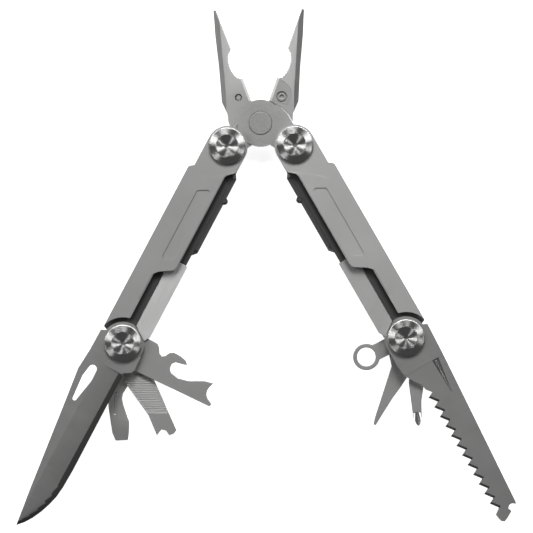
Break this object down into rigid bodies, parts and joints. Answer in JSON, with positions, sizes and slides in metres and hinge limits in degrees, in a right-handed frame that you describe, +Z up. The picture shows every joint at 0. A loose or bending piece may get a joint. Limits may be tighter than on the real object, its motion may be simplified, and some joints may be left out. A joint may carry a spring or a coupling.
{
  "type": "multi tool",
  "caption": "Folding multi tool opened flat: needle-nose pliers on two pivoting channel handles, with locking knife, saw and small tools fanned from the handle ends.",
  "frame": {"origin": "on the surface that the tool rests on, under the middle of its box when it lies opened out as modelled", "axes": "+Z up through the thickness, towards the side with the knife and the saw; +Y towards the tips of the jaws; +X towards the saw"},
  "size_m": [0.2002, 0.207, 0.0166],
  "materials": {
    "satin_steel": "bead-blasted satin stainless steel",
    "ground_steel": "ground and lightly polished blade steel",
    "turned_steel": "turned and polished stainless steel",
    "spring_steel": "plain rolled spring steel",
    "jaw_steel": "satin investment-cast stainless steel"
  },
  "bodies": {
    "rear_half": {"rear_jaw": "jaw_steel", "pivot_rivet": "turned_steel", "right_cutter": "satin_steel", "right_cutter_screw": "turned_steel"},
    "front_half": {"front_jaw": "jaw_steel", "left_cutter": "satin_steel", "left_cutter_screw": "turned_steel"},
    "left_handle": {"left_rear_cover": "satin_steel", "left_spine": "satin_steel", "left_lock_liner": "satin_steel", "left_blade_spacer": "satin_steel", "left_front_cover": "satin_steel", "left_tool_spring": "spring_steel", "left_rivets": "turned_steel", "left_upper_nut": "turned_steel", "left_upper_screw": "turned_steel", "left_lower_nut": "turned_steel", "left_lower_screw": "turned_steel", "left_upper_washers": "spring_steel", "left_lower_washers": "spring_steel"},
    "right_handle": {"right_rear_cover": "satin_steel", "right_spine": "satin_steel", "right_lock_liner": "satin_steel", "right_blade_spacer": "satin_steel", "right_front_cover": "satin_steel", "right_tool_spring": "spring_steel", "right_rivets": "turned_steel", "right_upper_nut": "turned_steel", "right_upper_screw": "turned_steel", "right_lower_nut": "turned_steel", "right_lower_screw": "turned_steel", "right_upper_washers": "spring_steel", "right_lower_washers": "spring_steel"},
    "left_lock": {"left_lock_leaf": "spring_steel"},
    "right_lock": {"right_lock_leaf": "spring_steel"},
    "knife": {"knife": "ground_steel"},
    "saw": {"saw": "ground_steel"},
    "bottle_opener": {"bottle_opener": "ground_steel"},
    "file": {"file": "ground_steel"},
    "flat_driver": {"flat_driver": "ground_steel"},
    "cross_driver": {"cross_driver": "ground_steel"},
    "lanyard_ring": {"lanyard_ring": "ground_steel"},
    "awl": {"awl": "ground_steel"}
  },
  "joints": [
    {"name": "pliers_pivot", "type": "hinge", "parent": "rear_half", "child": "front_half", "pos_m": [-0.00224, 0.05755, 0.0067], "axis": [0, 0, 1], "range_deg": [-40, 1]},
    {"name": "left_handle_fold", "type": "hinge", "parent": "rear_half", "child": "left_handle", "pos_m": [-0.01556, 0.04815, 0.0067], "axis": [0, 0, 1], "range_deg": [-154, 0]},
    {"name": "right_handle_fold", "type": "hinge", "parent": "front_half", "child": "right_handle", "pos_m": [0.01146, 0.04872, 0.0067], "axis": [0, 0, -1], "range_deg": [-154, 0]},
    {"name": "knife_fold", "type": "hinge", "parent": "left_handle", "child": "knife", "pos_m": [-0.05729, -0.03068, 0.0124], "axis": [0, 0, -1], "range_deg": [-180, 0]},
    {"name": "saw_fold", "type": "hinge", "parent": "right_handle", "child": "saw", "pos_m": [0.05606, -0.02853, 0.0124], "axis": [0, 0, 1], "range_deg": [-180, 0]},
    {"name": "opener_fold", "type": "hinge", "parent": "left_handle", "child": "bottle_opener", "pos_m": [-0.05729, -0.03068, 0.009], "axis": [0, 0, -1], "range_deg": [-87.7, 92.3]},
    {"name": "file_fold", "type": "hinge", "parent": "left_handle", "child": "file", "pos_m": [-0.05729, -0.03068, 0.0067], "axis": [0, 0, -1], "range_deg": [-127.1, 52.9]},
    {"name": "flat_driver_fold", "type": "hinge", "parent": "left_handle", "child": "flat_driver", "pos_m": [-0.05729, -0.03068, 0.0044], "axis": [0, 0, -1], "range_deg": [-152.7, 27.3]},
    {"name": "cross_driver_fold", "type": "hinge", "parent": "right_handle", "child": "cross_driver", "pos_m": [0.05606, -0.02853, 0.0086], "axis": [0, 0, 1], "range_deg": [-157.3, 22.7]},
    {"name": "ring_fold", "type": "hinge", "parent": "right_handle", "child": "lanyard_ring", "pos_m": [0.05606, -0.02853, 0.0062], "axis": [0, 0, 1], "range_deg": [-86.2, 93.8]},
    {"name": "awl_fold", "type": "hinge", "parent": "right_handle", "child": "awl", "pos_m": [0.05606, -0.02853, 0.0043], "axis": [0, 0, 1], "range_deg": [-130.5, 49.5]},
    {"name": "left_lock_press", "type": "hinge", "parent": "left_handle", "child": "left_lock", "pos_m": [-0.03895, 0.00396, 0.0108], "axis": [-0.8838, 0.4679, 0], "range_deg": [0, 3]},
    {"name": "right_lock_press", "type": "hinge", "parent": "right_handle", "child": "right_lock", "pos_m": [0.03646, 0.00542, 0.0108], "axis": [-0.866, -0.5, 0], "range_deg": [0, 3]}
  ]
}
